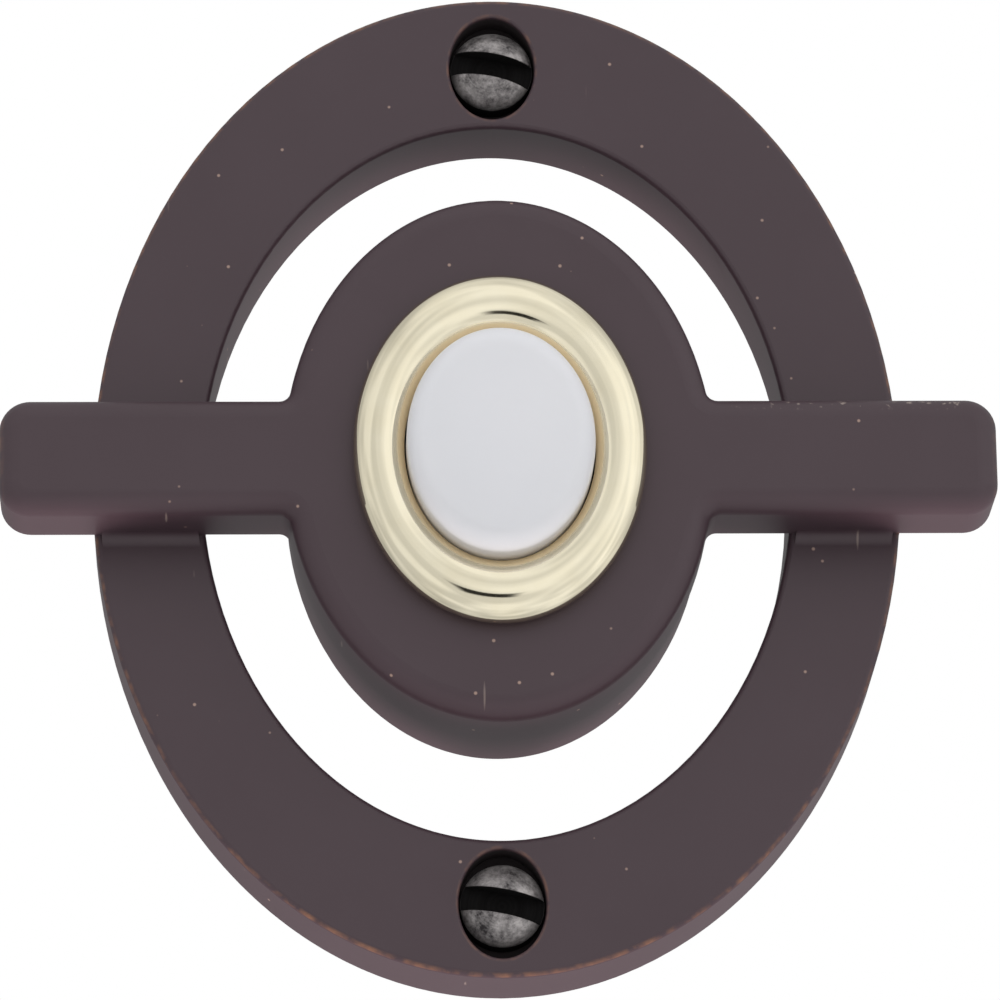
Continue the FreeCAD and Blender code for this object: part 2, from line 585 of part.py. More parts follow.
def terminal_base():
    # Moulded plug of the housing with a central post for the lamp.
    base = cylinder(BASE_R, BASE_SEAT_Y, BASE_BACK_Y)
    base = base.fuse(cylinder(LAMP_POST_R, LAMP_POST_Y, BASE_SEAT_Y + 0.5)).removeSplitter()
    cutters = []
    for side in (-1, 1):
        cutters.append(cylinder(TERMINAL_HOLE_R, BASE_SEAT_Y - 1, BASE_BACK_Y + 1, side * TERMINAL_X))
        cutters.append(cylinder(LEAD_R + LEAD_CLEARANCE, LAMP_POST_Y - 1, BASE_BACK_Y + 1, side * LEAD_X))
    return base.cut(cutters)


def terminal_screw(side):
    # Slotted pan-head screw through washer, base and the strip's tapped foot.
    seat_y = BASE_BACK_Y + CLAMP_WASHER_THICKNESS
    back_y = seat_y + TERMINAL_HEAD_HEIGHT
    head = cylinder(TERMINAL_HEAD_R, seat_y, back_y)
    rim = [edge for edge in head.Edges if is_close(edge.BoundBox.YMin, back_y)]
    head = head.makeFillet(TERMINAL_HEAD_EDGE_R, rim)
    half = TERMINAL_SLOT_WIDTH / 2
    reach = TERMINAL_HEAD_R + 1
    slot = block(-half, half, back_y - TERMINAL_SLOT_DEPTH, back_y + 1, -reach, reach)
    slot.rotate(V(0, 0, 0), V(0, 1, 0), side * TERMINAL_SLOT_TILT)
    screw = head.cut(slot).fuse(cylinder(TERMINAL_SCREW_R, TERMINAL_TIP_Y, seat_y + 0.3)).removeSplitter()
    tip = [edge for edge in screw.Edges if is_close(edge.BoundBox.YMax, TERMINAL_TIP_Y)]
    screw = screw.makeChamfer(TERMINAL_TIP_CHAMFER, tip)
    screw.translate(V(side * TERMINAL_X, 0, 0))
    return screw


def clamp_washer(side):
    # Square washer that holds the bell wire under the terminal screw's head.
    half = CLAMP_WASHER_SIDE / 2
    back_y = BASE_BACK_Y + CLAMP_WASHER_THICKNESS
    washer = block(-half, half, BASE_BACK_Y, back_y, -half, half)
    washer = washer.cut(cylinder(TERMINAL_HOLE_R + BASE_CLEARANCE, BASE_BACK_Y - 1, back_y + 1))
    washer.translate(V(side * TERMINAL_X, 0, 0))
    return washer


def lamp():
    # Small light-emitting diode: flanged round body with a domed end.
    flange_y = LAMP_POST_Y - LAMP_FLANGE
    dome_y = LAMP_POST_Y - LAMP_LENGTH + LAMP_R
    body = cylinder(LAMP_FLANGE_R, flange_y, LAMP_POST_Y)
    barrel = cylinder(LAMP_R, dome_y, LAMP_POST_Y)
    end = Part.makeSphere(LAMP_R, V(0, dome_y, 0))
    return body.fuse([barrel, end]).removeSplitter()


def wire(points, radius):
    # Round wire along straight runs with ball-shaped bends.
    pieces = []
    for start, end in zip(points[:-1], points[1:]):
        run = end.sub(start)
        pieces.append(Part.makeCylinder(radius, run.Length, start, run))
    for bend in points[1:-1]:
        pieces.append(Part.makeSphere(radius, bend))
    return pieces[0].fuse(pieces[1:]).removeSplitter()


def lead_back_y():
    return BASE_BACK_Y + LEAD_R + LEAD_LIFT


def right_lamp_lead():
    # From the lamp through the base, then straight to the right clamp washer's edge.
    washer_edge_x = TERMINAL_X - CLAMP_WASHER_SIDE / 2
    points = [V(LEAD_X, LAMP_POST_Y, 0), V(LEAD_X, lead_back_y(), 0), V(washer_edge_x, lead_back_y(), 0)]
    return wire(points, LEAD_R)


def resistor_axis_y():
    return BASE_BACK_Y + RESISTOR_R + LEAD_LIFT


def left_lamp_lead():
    # From the lamp through the base, then across to the resistor's upper end.
    bend_z = RESISTOR_TOP_Z + 0.9
    back_y = resistor_axis_y()
    points = [V(-LEAD_X, LAMP_POST_Y, 0), V(-LEAD_X, back_y, 0), V(0, back_y, bend_z), V(0, back_y, RESISTOR_TOP_Z)]
    return wire(points, LEAD_R)


def lamp_resistor():
    # Axial resistor with dog-bone ends; its lower lead runs round to the left clamp washer.
    y = resistor_axis_y()
    low_z = RESISTOR_TOP_Z - RESISTOR_LENGTH
    down = V(0, 0, -1)
    body = Part.makeCylinder(RESISTOR_WAIST_R, RESISTOR_LENGTH, V(0, y, RESISTOR_TOP_Z), down)
    body = body.fuse(Part.makeCylinder(RESISTOR_R, RESISTOR_END, V(0, y, RESISTOR_TOP_Z), down))
    body = body.fuse(Part.makeCylinder(RESISTOR_R, RESISTOR_END, V(0, y, low_z + RESISTOR_END), down))
    washer_edge_z = -CLAMP_WASHER_SIDE / 2
    back_y = lead_back_y()
    turn_z = low_z - RESISTOR_LEAD_DROP
    points = [V(0, y, low_z + 0.2), V(0, y, turn_z), V(RESISTOR_LEAD_X, back_y, turn_z)]
    points.append(V(RESISTOR_LEAD_X, back_y, washer_edge_z))
    return body.fuse(wire(points, LEAD_R)).removeSplitter()


def return_spring():
    # Compression spring round the lamp post, from the base to the plunger's ledge.
    front_y = SPRING_FRONT_Y + SPRING_WIRE_R
    back_y = BASE_SEAT_Y - SPRING_WIRE_R
    length = back_y - front_y
    helix = Part.makeHelix(length / SPRING_TURNS, length, SPRING_COIL_R)
    circle = Part.Circle(V(SPRING_COIL_R, 0, 0), V(0, 1, 0), SPRING_WIRE_R)
    third = 2 * math.pi / 3
    arcs = [Part.ArcOfCircle(circle, third * index, third * (index + 1)).toShape() for index in range(3)]
    profile = Part.Wire(arcs)
    coil = Part.Wire(helix).makePipeShell([profile], True, True)
    coil.rotate(V(0, 0, 0), V(1, 0, 0), -90)
    coil.translate(V(0, front_y, 0))
    return coil


write_part("plate", plate())
write_part("upper_screw", wall_screw(SCREW_Z))
write_part("lower_screw", wall_screw(-SCREW_Z))
write_part("bezel", bezel())
write_part("button_cap", button_cap())
write_part("plunger", plunger())
write_part("switch_housing", switch_housing())
write_part("lock_washer", lock_washer())
write_part("lock_nut", lock_nut())
write_part("return_spring", return_spring())
write_part("contact_ring", contact_ring())
write_part("push_ring", push_ring())
write_part("left_contact", fixed_contact(-1))
write_part("right_contact", fixed_contact(1))
write_part("terminal_base", terminal_base())
write_part("left_terminal_screw", terminal_screw(-1))
write_part("right_terminal_screw", terminal_screw(1))
write_part("left_clamp_washer", clamp_washer(-1))
write_part("right_clamp_washer", clamp_washer(1))
write_part("lamp", lamp())
write_part("left_lamp_lead", left_lamp_lead())
write_part("right_lamp_lead", right_lamp_lead())
write_part("lamp_resistor", lamp_resistor())
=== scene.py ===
import math
import bpy
from mathutils import Matrix, Vector


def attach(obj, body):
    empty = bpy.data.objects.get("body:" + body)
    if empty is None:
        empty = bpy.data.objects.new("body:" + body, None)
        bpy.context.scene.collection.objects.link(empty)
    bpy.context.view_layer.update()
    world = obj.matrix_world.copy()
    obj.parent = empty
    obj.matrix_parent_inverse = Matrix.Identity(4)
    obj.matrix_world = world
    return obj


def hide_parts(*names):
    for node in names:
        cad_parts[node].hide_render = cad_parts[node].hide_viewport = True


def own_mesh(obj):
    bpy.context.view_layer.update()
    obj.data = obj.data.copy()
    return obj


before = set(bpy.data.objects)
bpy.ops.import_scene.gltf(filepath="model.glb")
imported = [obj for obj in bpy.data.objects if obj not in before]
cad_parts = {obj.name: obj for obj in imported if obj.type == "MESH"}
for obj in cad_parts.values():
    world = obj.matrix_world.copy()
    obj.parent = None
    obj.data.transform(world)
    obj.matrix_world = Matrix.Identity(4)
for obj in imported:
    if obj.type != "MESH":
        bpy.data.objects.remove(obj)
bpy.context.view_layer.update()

# Cast plate: the ring, the crossbar and the hub are one zinc casting, drilled and counterbored for
# two wall screws. It is plated in dark bronze, rubbed back a little on the edges and lacquered satin.

MM = 0.001
OVAL = 1.268
FACE_Y = -13.8
RING_HALF_WIDTH = 31.7
RING_MIDDLE = 27.4
RING_FACE_Y = -7.3
BAR_HALF_LENGTH = 38.8
BAR_HALF_HEIGHT = 4.625
SCREW_INSET = 0.38
SCREW_Z = OVAL * RING_MIDDLE - SCREW_INSET
RECESS_HALF_WIDTH = 3.4
RECESS_FLOOR_Y = -4.7


def linear(hex_colour):
    # A colour written as sRGB hex, as the four linear numbers that a socket takes.
    channels = [int(hex_colour[i : i + 2], 16) / 255 for i in (0, 2, 4)]
    return [c / 12.92 if c <= 0.04045 else ((c + 0.055) / 1.055) ** 2.4 for c in channels] + [1.0]


def feed(tree, node, inputs):
    # Sets each input to a value, or links it to a socket or to the output that a node has in use.
    for key, value in inputs.items():
        if isinstance(value, bpy.types.Node):
            value = next(socket for socket in value.outputs if socket.enabled)
        if isinstance(value, bpy.types.NodeSocket):
            tree.links.new(value, node.inputs[key])
        else:
            node.inputs[key].default_value = value


def add(tree, kind, inputs={}, **settings):
    # One node with its own settings and its inputs fed. A Mix takes the amount at 0 and two colours
    # at 6 and 7, or two numbers at 2 and 3. A MapRange takes a value at 0, its two limits at 1 and
    # 2, and what they become at 3 and 4, which are 0 and 1 unless given.
    node = tree.nodes.new("ShaderNode" + kind)
    for name, value in settings.items():
        setattr(node, name, value)
    feed(tree, node, inputs)
    return node


def new_finish(name):
    # A new material, with its node tree and its shader.
    material = bpy.data.materials.new(name)
    material.use_nodes = True
    return material, material.node_tree, material.node_tree.nodes["Principled BSDF"]


def give(node_name, material):
    # A finish for a piece that keeps its shape.
    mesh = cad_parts[node_name].data
    mesh.materials.clear()
    mesh.materials.append(material)


def distance(tree, first, second):
    # How far the point with these two coordinates lies from their zero.
    point = add(tree, "CombineXYZ", {"X": first, "Y": second})
    return add(tree, "VectorMath", {0: point}, operation="LENGTH")


def near(tree, value, middle, full, none):
    # One where the value is close to the middle, falling to nothing further away. All in mm.
    off = add(tree, "Math", {0: value, 1: middle * MM}, operation="SUBTRACT")
    size = add(tree, "Math", {0: off}, operation="ABSOLUTE")
    return add(tree, "MapRange", {0: size, 1: none * MM, 2: full * MM})


def copper_wear(tree, place, recess):
    # Where the plating is rubbed through in patches: the ring's outer front edge, the recesses'
    # rims, and the front edge of the bar's ends.
    x, y, z = add(tree, "SeparateXYZ", {0: place}).outputs
    radius = distance(tree, x, add(tree, "Math", {0: z, 1: OVAL}, operation="DIVIDE"))
    edge = near(tree, radius, RING_HALF_WIDTH - 0.12, 0.06, 0.2)
    rim = near(tree, recess, RECESS_HALF_WIDTH + 0.12, 0.03, 0.16)
    faint_rim = add(tree, "Math", {0: rim, 1: 0.7}, operation="MULTIPLY")
    edges = add(tree, "Math", {0: edge, 1: faint_rim}, operation="MAXIMUM")
    ring_face = near(tree, y, RING_FACE_Y + 0.1, 0.16, 0.26)
    on_ring = add(tree, "Math", {0: edges, 1: ring_face}, operation="MULTIPLY")
    side = add(tree, "Math", {0: x}, operation="ABSOLUTE")
    tip = near(tree, side, BAR_HALF_LENGTH, 0.1, 0.5)
    front = add(tree, "MapRange", {0: y, 1: (FACE_Y + 1.8) * MM, 2: (FACE_Y + 1.2) * MM, 4: 0.7})
    on_tip = add(tree, "Math", {0: tip, 1: front}, operation="MULTIPLY")
    rubbed = add(tree, "Math", {0: on_ring, 1: on_tip}, operation="MAXIMUM")
    wear = add(tree, "TexNoise", {"Vector": place, "Scale": 1 / (1.2 * MM), "Detail": 5.0})
    patches = add(tree, "MapRange", {0: wear, 1: 0.42, 2: 0.72, 4: 0.8})
    return add(tree, "Math", {0: rubbed, 1: patches}, operation="MULTIPLY")


def recess_painted_shade(tree, y, recess):
    # Where shade is painted: in the recesses, from just under the ring's face down to their floor.
    rim = RECESS_HALF_WIDTH * MM
    inside = add(tree, "MapRange", {0: recess, 1: (RECESS_HALF_WIDTH + 0.1) * MM, 2: rim})
    under_face = {0: y, 1: (RING_FACE_Y + 0.15) * MM, 2: (RING_FACE_Y + 0.6) * MM}
    over_floor = {0: y, 1: (RECESS_FLOOR_Y + 0.6) * MM, 2: (RECESS_FLOOR_Y + 0.1) * MM, 4: 0.85}
    low = add(tree, "MapRange", under_face)
    high = add(tree, "MapRange", over_floor)
    deep = add(tree, "Math", {0: inside, 1: low}, operation="MULTIPLY")
    return add(tree, "Math", {0: deep, 1: high}, operation="MULTIPLY")


def bronze_plating():
    # Dark brown plated zinc under satin lacquer: a soft wide sheen, warm purplish brown with faint
    # clouding, pale specks and short scratches where it was handled, copper showing on its edges,
    # and black painted shade down in the screws' recesses.
    material, tree, shader = new_finish("satin_bronze_plating")
    place = add(tree, "TexCoord").outputs["Object"]
    x, y, z = add(tree, "SeparateXYZ", {0: place}).outputs
    cloud = add(tree, "TexNoise", {"Vector": place, "Scale": 1 / (9 * MM), "Detail": 4.0})
    tone = add(tree, "Mix", {0: cloud, 6: linear("402f36"), 7: linear("46363d")}, data_type="RGBA")

    cells = add(tree, "TexVoronoi", {"Vector": place, "Scale": 1 / (2.8 * MM)})
    speck = add(tree, "MapRange", {0: cells, 1: 0.06, 2: 0.03})
    speckled = add(tree, "Mix", {0: speck, 6: tone, 7: linear("a3887c")}, data_type="RGBA")

    strokes = {"Vector": place, "Rotation": (0.4, 0.3, 0.9), "Scale": (1, 0.09, 0.09)}
    stretched = add(tree, "Mapping", strokes)
    lines = add(tree, "TexVoronoi", {"Vector": stretched, "Scale": 1 / (1.3 * MM)})
    line = add(tree, "MapRange", {0: lines, 1: 0.09, 2: 0.05})
    rare = add(tree, "TexNoise", {"Vector": place, "Scale": 1 / (6 * MM), "Detail": 1.0})
    handled = add(tree, "MapRange", {0: rare, 1: 0.58, 2: 0.64})
    scratch = add(tree, "Math", {0: line, 1: handled}, operation="MULTIPLY")
    scratched = add(tree, "Mix", {0: scratch, 6: speckled, 7: linear("7a6a66")}, data_type="RGBA")

    top_edge = near(tree, z, BAR_HALF_HEIGHT - 0.6, 0.2, 0.6)
    right_end = add(tree, "MapRange", {0: x, 1: 16 * MM, 2: 24 * MM})
    corner = add(tree, "Math", {0: top_edge, 1: right_end}, operation="MULTIPLY")
    chips = add(tree, "TexNoise", {"Vector": place, "Scale": 1 / (0.5 * MM), "Detail": 3.0})
    chip = add(tree, "MapRange", {0: chips, 1: 0.62, 2: 0.72})
    knocked = add(tree, "Math", {0: corner, 1: chip}, operation="MULTIPLY")
    chipped = add(tree, "Mix", {0: knocked, 6: scratched, 7: linear("8e807a")}, data_type="RGBA")

    height = add(tree, "Math", {0: z}, operation="ABSOLUTE")
    off_screw = add(tree, "Math", {0: height, 1: SCREW_Z * MM}, operation="SUBTRACT")
    recess = distance(tree, x, add(tree, "Math", {0: off_screw, 1: OVAL}, operation="DIVIDE"))
    copper = copper_wear(tree, place, recess)
    worn = add(tree, "Mix", {0: copper, 6: chipped, 7: linear("8a6048")}, data_type="RGBA")
    # Painted shade: the recess walls are painted near black and made rough, standing for the shade down
    # in the screws' recesses.
    painted_recess_shade = recess_painted_shade(tree, y, recess)
    recess_shaded = add(tree, "Mix", {0: painted_recess_shade, 6: worn, 7: linear("120b0b")}, data_type="RGBA")
    roughness = add(tree, "MapRange", {0: painted_recess_shade, 3: 0.45, 4: 0.85})
    grain = add(tree, "TexNoise", {"Vector": place, "Scale": 1 / (0.25 * MM), "Detail": 2.0})
    bump = add(tree, "Bump", {"Height": grain, "Strength": 0.12, "Distance": 0.02 * MM})
    feed(tree, shader, {"Base Color": recess_shaded, "Roughness": roughness, "IOR": 1.5, "Normal": bump})
    return material


give("plate", bronze_plating())

# Bezel: a ring spun from thin brass sheet, polished bright and lacquered. Its outer edge is rolled
# down onto the hub, and its inner sleeve is pressed into the mouth of the housing.

UNIT_OVAL = 1.24
SLEEVE_HALF_WIDTH = 7.43
SLEEVE_END_Y = FACE_Y + 1.0
BEZEL_WIDTH = 3.95
BEZEL_HEIGHT = 2.5
BEZEL_SHEET = 0.48
BEZEL_ROLL_HALF_WIDTH = 2.07
BEZEL_ROLL_LIFT = 1.0
BEZEL_LIP_ANGLE = math.radians(40.2)
BEZEL_SLOPE_END = 1.35
BEZEL_SLOPE_BACK = 1.13
SMOOTH_ANGLE = math.radians(40)


def arc_through(start, middle, end, count):
    # Points along the round stretch through three points, both ends included.
    (ax, ay), (bx, by), (cx, cy) = start, middle, end
    a, b, c = ax**2 + ay**2, bx**2 + by**2, cx**2 + cy**2
    d = 2 * (ax * (by - cy) + bx * (cy - ay) + cx * (ay - by))
    ux = (a * (by - cy) + b * (cy - ay) + c * (ay - by)) / d
    uy = (a * (cx - bx) + b * (ax - cx) + c * (bx - ax)) / d
    radius = math.hypot(ax - ux, ay - uy)
    first, mid, last = (math.atan2(y - uy, x - ux) for x, y in (start, middle, end))
    turn = (last - first) % (2 * math.pi)
    if (mid - first) % (2 * math.pi) > turn:
        turn -= 2 * math.pi
    angles = [first + turn * i / (count - 1) for i in range(count)]
    return [(ux + radius * math.cos(t), uy + radius * math.sin(t)) for t in angles]


def turned(name, section, steps, material, oval=1.0):
    # Draws a closed section corner by corner, from (radius, y) in mm, spins it round Y, stretches it
    # to its oval and shades it.
    bpy.ops.object.select_all(action="DESELECT")
    bpy.ops.mesh.primitive_plane_add(size=MM)
    piece = bpy.context.object
    piece.name = name
    bpy.ops.object.mode_set(mode="EDIT")
    bpy.ops.mesh.merge(type="CENTER")
    here = (0.0, 0.0)
    for index, corner in enumerate(section):
        step = ((corner[0] - here[0]) * MM, (corner[1] - here[1]) * MM, 0)
        if index == 0:
            bpy.ops.transform.translate(value=step)
        else:
            bpy.ops.mesh.extrude_vertices_move(TRANSFORM_OT_translate={"value": step})
        here = corner
    bpy.ops.mesh.select_all(action="SELECT")
    bpy.ops.mesh.spin(steps=steps, angle=2 * math.pi, center=(0, 0, 0), axis=(0, 1, 0))
    bpy.ops.mesh.select_all(action="SELECT")
    bpy.ops.mesh.remove_doubles(threshold=0.002 * MM)
    bpy.ops.transform.resize(value=(1, 1, oval), center_override=(0, 0, 0))
    bpy.ops.mesh.normals_make_consistent(inside=False)
    bpy.ops.object.mode_set(mode="OBJECT")
    bpy.ops.object.shade_smooth_by_angle(angle=SMOOTH_ANGLE)
    piece.data.materials.append(material)
    return piece


def roll(half_width, half_height, count):
    # Points of the rolled section from the foot, round the widest place and over the crest, to the lip.
    middle = SLEEVE_HALF_WIDTH + BEZEL_WIDTH - BEZEL_ROLL_HALF_WIDTH
    first = -math.asin(BEZEL_ROLL_LIFT / half_height)
    turn = math.pi / 2 + BEZEL_LIP_ANGLE - first
    angles = [first + turn * i / (count - 1) for i in range(count)]
    middle_y = FACE_Y - BEZEL_ROLL_LIFT
    return [(middle + half_width * math.cos(t), middle_y - half_height * math.sin(t)) for t in angles]


def bezel_section():
    # Over the roll to its lip, which is softened a little, down the slope and the sleeve, and back
    # along the hidden side of the sheet.
    inner = SLEEVE_HALF_WIDTH
    outer = inner + BEZEL_SHEET
    half_height = BEZEL_HEIGHT - BEZEL_ROLL_LIFT
    outside = roll(BEZEL_ROLL_HALF_WIDTH, half_height, 48)
    x, y = outside.pop()
    soft_lip = arc_through((x + 0.1, y - 0.05), (x + 0.01, y), (x - 0.06, y + 0.07), 5)
    neck = [(inner, FACE_Y - BEZEL_SLOPE_END), (inner, SLEEVE_END_Y), (outer, SLEEVE_END_Y)]
    inside = roll(BEZEL_ROLL_HALF_WIDTH - BEZEL_SHEET, half_height - BEZEL_SHEET, 24)[::-1]
    back = [(outer, FACE_Y - BEZEL_SLOPE_BACK)]
    return outside[:-1] + soft_lip + neck + back + inside + outside[:1]


def polished_brass():
    # Bright pale brass under clear lacquer: mirror-like, with the faint rings and waves that the
    # spinning tool left. The slope inside the lip is rougher, and its warmer tan and part-matt shine
    # are a painted reflection of the white cap, which brightens it.
    material, tree, shader = new_finish("polished_brass")
    place = add(tree, "TexCoord").outputs["Object"]
    x, y, z = add(tree, "SeparateXYZ", {0: place}).outputs
    radius = distance(tree, x, add(tree, "Math", {0: z, 1: UNIT_OVAL}, operation="DIVIDE"))
    round_place = add(tree, "CombineXYZ", {"X": radius, "Y": y})
    rings = add(tree, "TexNoise", {"Vector": round_place, "Scale": 1 / (0.35 * MM), "Detail": 3.0})
    waves = add(tree, "TexNoise", {"Vector": place, "Scale": 1 / (5 * MM), "Detail": 1.0})
    cloud = add(tree, "TexNoise", {"Vector": place, "Scale": 1 / (2.5 * MM), "Detail": 4.0})
    tone = add(tree, "Mix", {0: cloud, 6: linear("e2d9be"), 7: linear("ece5ce")}, data_type="RGBA")

    slope_foot = (SLEEVE_HALF_WIDTH + 0.45) * MM
    slope = add(tree, "MapRange", {0: radius, 1: (SLEEVE_HALF_WIDTH + 0.7) * MM, 2: slope_foot})
    # Painted reflection: the slope gets a warmer, paler tan and less metal, so its diffuse part
    # brightens it as the reflected white cap would.
    colour = add(tree, "Mix", {0: slope, 6: tone, 7: linear("fae6bd")}, data_type="RGBA")
    metallic = add(tree, "MapRange", {0: slope, 3: 1.0, 4: 0.4})
    haze = add(tree, "Math", {0: cloud, 1: 0.1, 2: 0.02}, operation="MULTIPLY_ADD")
    roughness = add(tree, "Math", {0: slope, 1: 0.4, 2: haze}, operation="MULTIPLY_ADD")
    height = add(tree, "Math", {0: rings, 1: 0.12, 2: waves}, operation="MULTIPLY_ADD")
    bump = add(tree, "Bump", {"Height": height, "Strength": 0.35, "Distance": 0.06 * MM})
    feed(tree, shader, {"Base Color": colour, "Metallic": metallic, "Roughness": roughness})
    feed(tree, shader, {"Normal": bump})
    return material


brass = polished_brass()
bezel = turned("polished_bezel", bezel_section(), 160, brass, UNIT_OVAL)
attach(bezel, "body")
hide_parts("bezel")

# Button cap: an oval cap moulded in translucent white acrylic, slightly domed, with a round socket
# inside that is pressed over the front end of the plunger.

CAP_HALF_WIDTH = 7.3
CAP_CROWN_Y = FACE_Y - 5.0
CAP_CROWN_RISE = 0.38
CAP_EDGE_R = 1.5
CAP_SKIRT_Y = FACE_Y - 0.4
CAP_WALL = 1.1


def cap_section():
    # From the middle of the crown over the rounded edge, down the skirt and back inside.
    flat = CAP_HALF_WIDTH - CAP_EDGE_R
    shoulder = CAP_CROWN_Y + CAP_CROWN_RISE
    slant = CAP_EDGE_R * math.sqrt(0.5)
    corner_y = shoulder + CAP_EDGE_R
    halfway = (flat / 2, CAP_CROWN_Y + CAP_CROWN_RISE / 4)
    crown = arc_through((0.0, CAP_CROWN_Y), halfway, (flat, shoulder), 14)
    on_edge = (flat + slant, corner_y - slant)
    edge = arc_through((flat, shoulder), on_edge, (CAP_HALF_WIDTH, corner_y), 12)
    inner = CAP_HALF_WIDTH - CAP_WALL
    inside_y = CAP_CROWN_Y + CAP_WALL
    rest = [(CAP_HALF_WIDTH, CAP_SKIRT_Y), (inner, CAP_SKIRT_Y), (inner, inside_y), (0.0, inside_y)]
    return crown + edge[1:] + rest


def white_acrylic():
    # Translucent white acrylic, faintly blue: light goes a little way in, so its edges stay soft,
    # under an even gloss with a slight haze.
    material, tree, shader = new_finish("translucent_white_acrylic")
    place = add(tree, "TexCoord").outputs["Object"]
    cloud = add(tree, "TexNoise", {"Vector": place, "Scale": 1 / (9 * MM), "Detail": 1.0})
    tone = add(tree, "Mix", {0: cloud, 6: linear("e4e5ea"), 7: linear("e8e8ec")}, data_type="RGBA")
    haze = add(tree, "TexNoise", {"Vector": place, "Scale": 1 / (0.5 * MM), "Detail": 2.0})
    gloss = add(tree, "MapRange", {0: haze, 1: 0.3, 2: 0.7, 3: 0.29, 4: 0.33})
    feed(tree, shader, {"Base Color": tone, "Roughness": gloss, "IOR": 1.49})
    depth = {"Subsurface Radius": (1.0, 1.0, 1.0), "Subsurface Scale": 1.2 * MM}
    feed(tree, shader, {"Subsurface Weight": 0.5, **depth})
    return material


acrylic = white_acrylic()
give("button_cap", acrylic)
cap_shell = turned("button_cap_shell", cap_section(), 160, acrylic, UNIT_OVAL)
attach(cap_shell, "button")
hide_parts("button_cap")

# Wall screws: two slotted round-head wood screws, turned and rolled in steel and blackened. Their
# domes are worn bright in patches. The thread below the plate is a rolled ridge round a thin core.

SCREW_HEAD_R = 3.25
SCREW_RIM_Y = -6.45
SCREW_TOP_Y = -8.2
SCREW_DOME_R = 3.893
SCREW_SLOT_WIDTH = 1.95
SCREW_SLOT_DEPTH = 2.0
SCREW_TILT = math.radians(-11)
SHANK_R = 1.75
CORE_R = 1.2
CORE_START_Y = 0.3
CORE_END_Y = 8.3
POINT_R = 0.15
POINT_Y = 11.3
THREAD_PITCH = 1.41
THREAD_TURNS = 5
THREAD_RIDGE_R = 0.36
THREAD_START = (1.37, 0.8)


def worn_steel():
    # Blackened steel, its black rubbed off the dome in rings and patches down to scratched grey
    # metal, and left black in the slot, round the side and on the shank, where it is painted darker
    # still as painted shade.
    material, tree, shader = new_finish("worn_blackened_steel")
    place = add(tree, "TexCoord").outputs["Object"]
    x, y, z = add(tree, "SeparateXYZ", {0: place}).outputs
    height = add(tree, "Math", {0: z}, operation="ABSOLUTE")
    up = add(tree, "Math", {0: height, 1: SCREW_Z * MM}, operation="SUBTRACT")
    radius = distance(tree, x, up)
    round_place = add(tree, "CombineXYZ", {"X": radius, "Y": y})
    rings = add(tree, "TexNoise", {"Vector": round_place, "Scale": 1 / (0.16 * MM), "Detail": 3.0})
    coarse = {"Vector": place, "Scale": 1 / (1.7 * MM), "Detail": 5.0, "Roughness": 0.62}
    fine = {"Vector": place, "Scale": 1 / (0.3 * MM), "Detail": 4.0, "Roughness": 0.7}
    patches = add(tree, "TexNoise", coarse)
    grit = add(tree, "TexNoise", fine)
    ring_share = add(tree, "Math", {0: rings, 1: 0.2}, operation="MULTIPLY")
    with_grit = add(tree, "Math", {0: grit, 1: 0.5, 2: ring_share}, operation="MULTIPLY_ADD")
    mottle = add(tree, "Math", {0: with_grit, 1: patches}, operation="ADD")
    rubbed = add(tree, "MapRange", {0: mottle, 1: 0.62, 2: 1.02})
    black, grey = linear("2c282a"), linear("b4afae")
    blackened = add(tree, "Mix", {0: rubbed, 6: black, 7: grey}, data_type="RGBA")

    dome_middle_y = (SCREW_TOP_Y + SCREW_DOME_R) * MM
    along = add(tree, "Math", {0: y, 1: dome_middle_y}, operation="SUBTRACT")
    from_middle = distance(tree, radius, along)
    skin = (SCREW_DOME_R - 0.05) * MM
    on_dome = add(tree, "MapRange", {0: from_middle, 1: (SCREW_DOME_R - 0.16) * MM, 2: skin})
    # Painted shade: off the dome, in the slot, round the side and on the shank, the steel is painted
    # near black, darker than its blackening, for the shade in the slot and in the gap round the head.
    colour = add(tree, "Mix", {0: on_dome, 6: linear("0a0708"), 7: blackened}, data_type="RGBA")
    polish = add(tree, "MapRange", {0: rings, 1: 0.3, 2: 0.7, 3: 0.3, 4: 0.5})
    in_slot = add(tree, "MapRange", {0: on_dome, 3: 0.4, 4: 0.0})
    roughness = add(tree, "Math", {0: polish, 1: in_slot}, operation="ADD")
    bump = add(tree, "Bump", {"Height": mottle, "Strength": 0.45, "Distance": 0.04 * MM})
    feed(tree, shader, {"Base Color": colour, "Metallic": 0.6, "Roughness": roughness})
    feed(tree, shader, {"Normal": bump})
    return material


def cut_from(piece, cutter):
    # Takes the cutter's shape out of the piece and removes the cutter.
    bpy.ops.object.select_all(action="DESELECT")
    piece.select_set(True)
    bpy.context.view_layer.objects.active = piece
    cut = piece.modifiers.new("cut", "BOOLEAN")
    cut.operation, cut.object, cut.solver = "DIFFERENCE", cutter, "EXACT"
    bpy.ops.object.modifier_apply(modifier=cut.name)
    bpy.data.objects.remove(cutter)
    bpy.ops.object.shade_smooth_by_angle(angle=SMOOTH_ANGLE)


def slot_cutter():
    # A long block across the head, tilted, that reaches from above the dome to the slot's floor.
    length, above = 10.0, 2.0
    bpy.ops.object.select_all(action="DESELECT")
    bpy.ops.mesh.primitive_cube_add(size=MM)
    cutter = bpy.context.object
    bpy.ops.object.mode_set(mode="EDIT")
    shape = (length, above + SCREW_SLOT_DEPTH, SCREW_SLOT_WIDTH)
    bpy.ops.transform.resize(value=shape, center_override=(0, 0, 0))
    middle_y = SCREW_TOP_Y - (above - SCREW_SLOT_DEPTH) / 2
    bpy.ops.transform.translate(value=(0, middle_y * MM, 0))
    bpy.ops.transform.rotate(value=SCREW_TILT, orient_axis="Y", center_override=(0, 0, 0))
    bpy.ops.object.mode_set(mode="OBJECT")
    return cutter


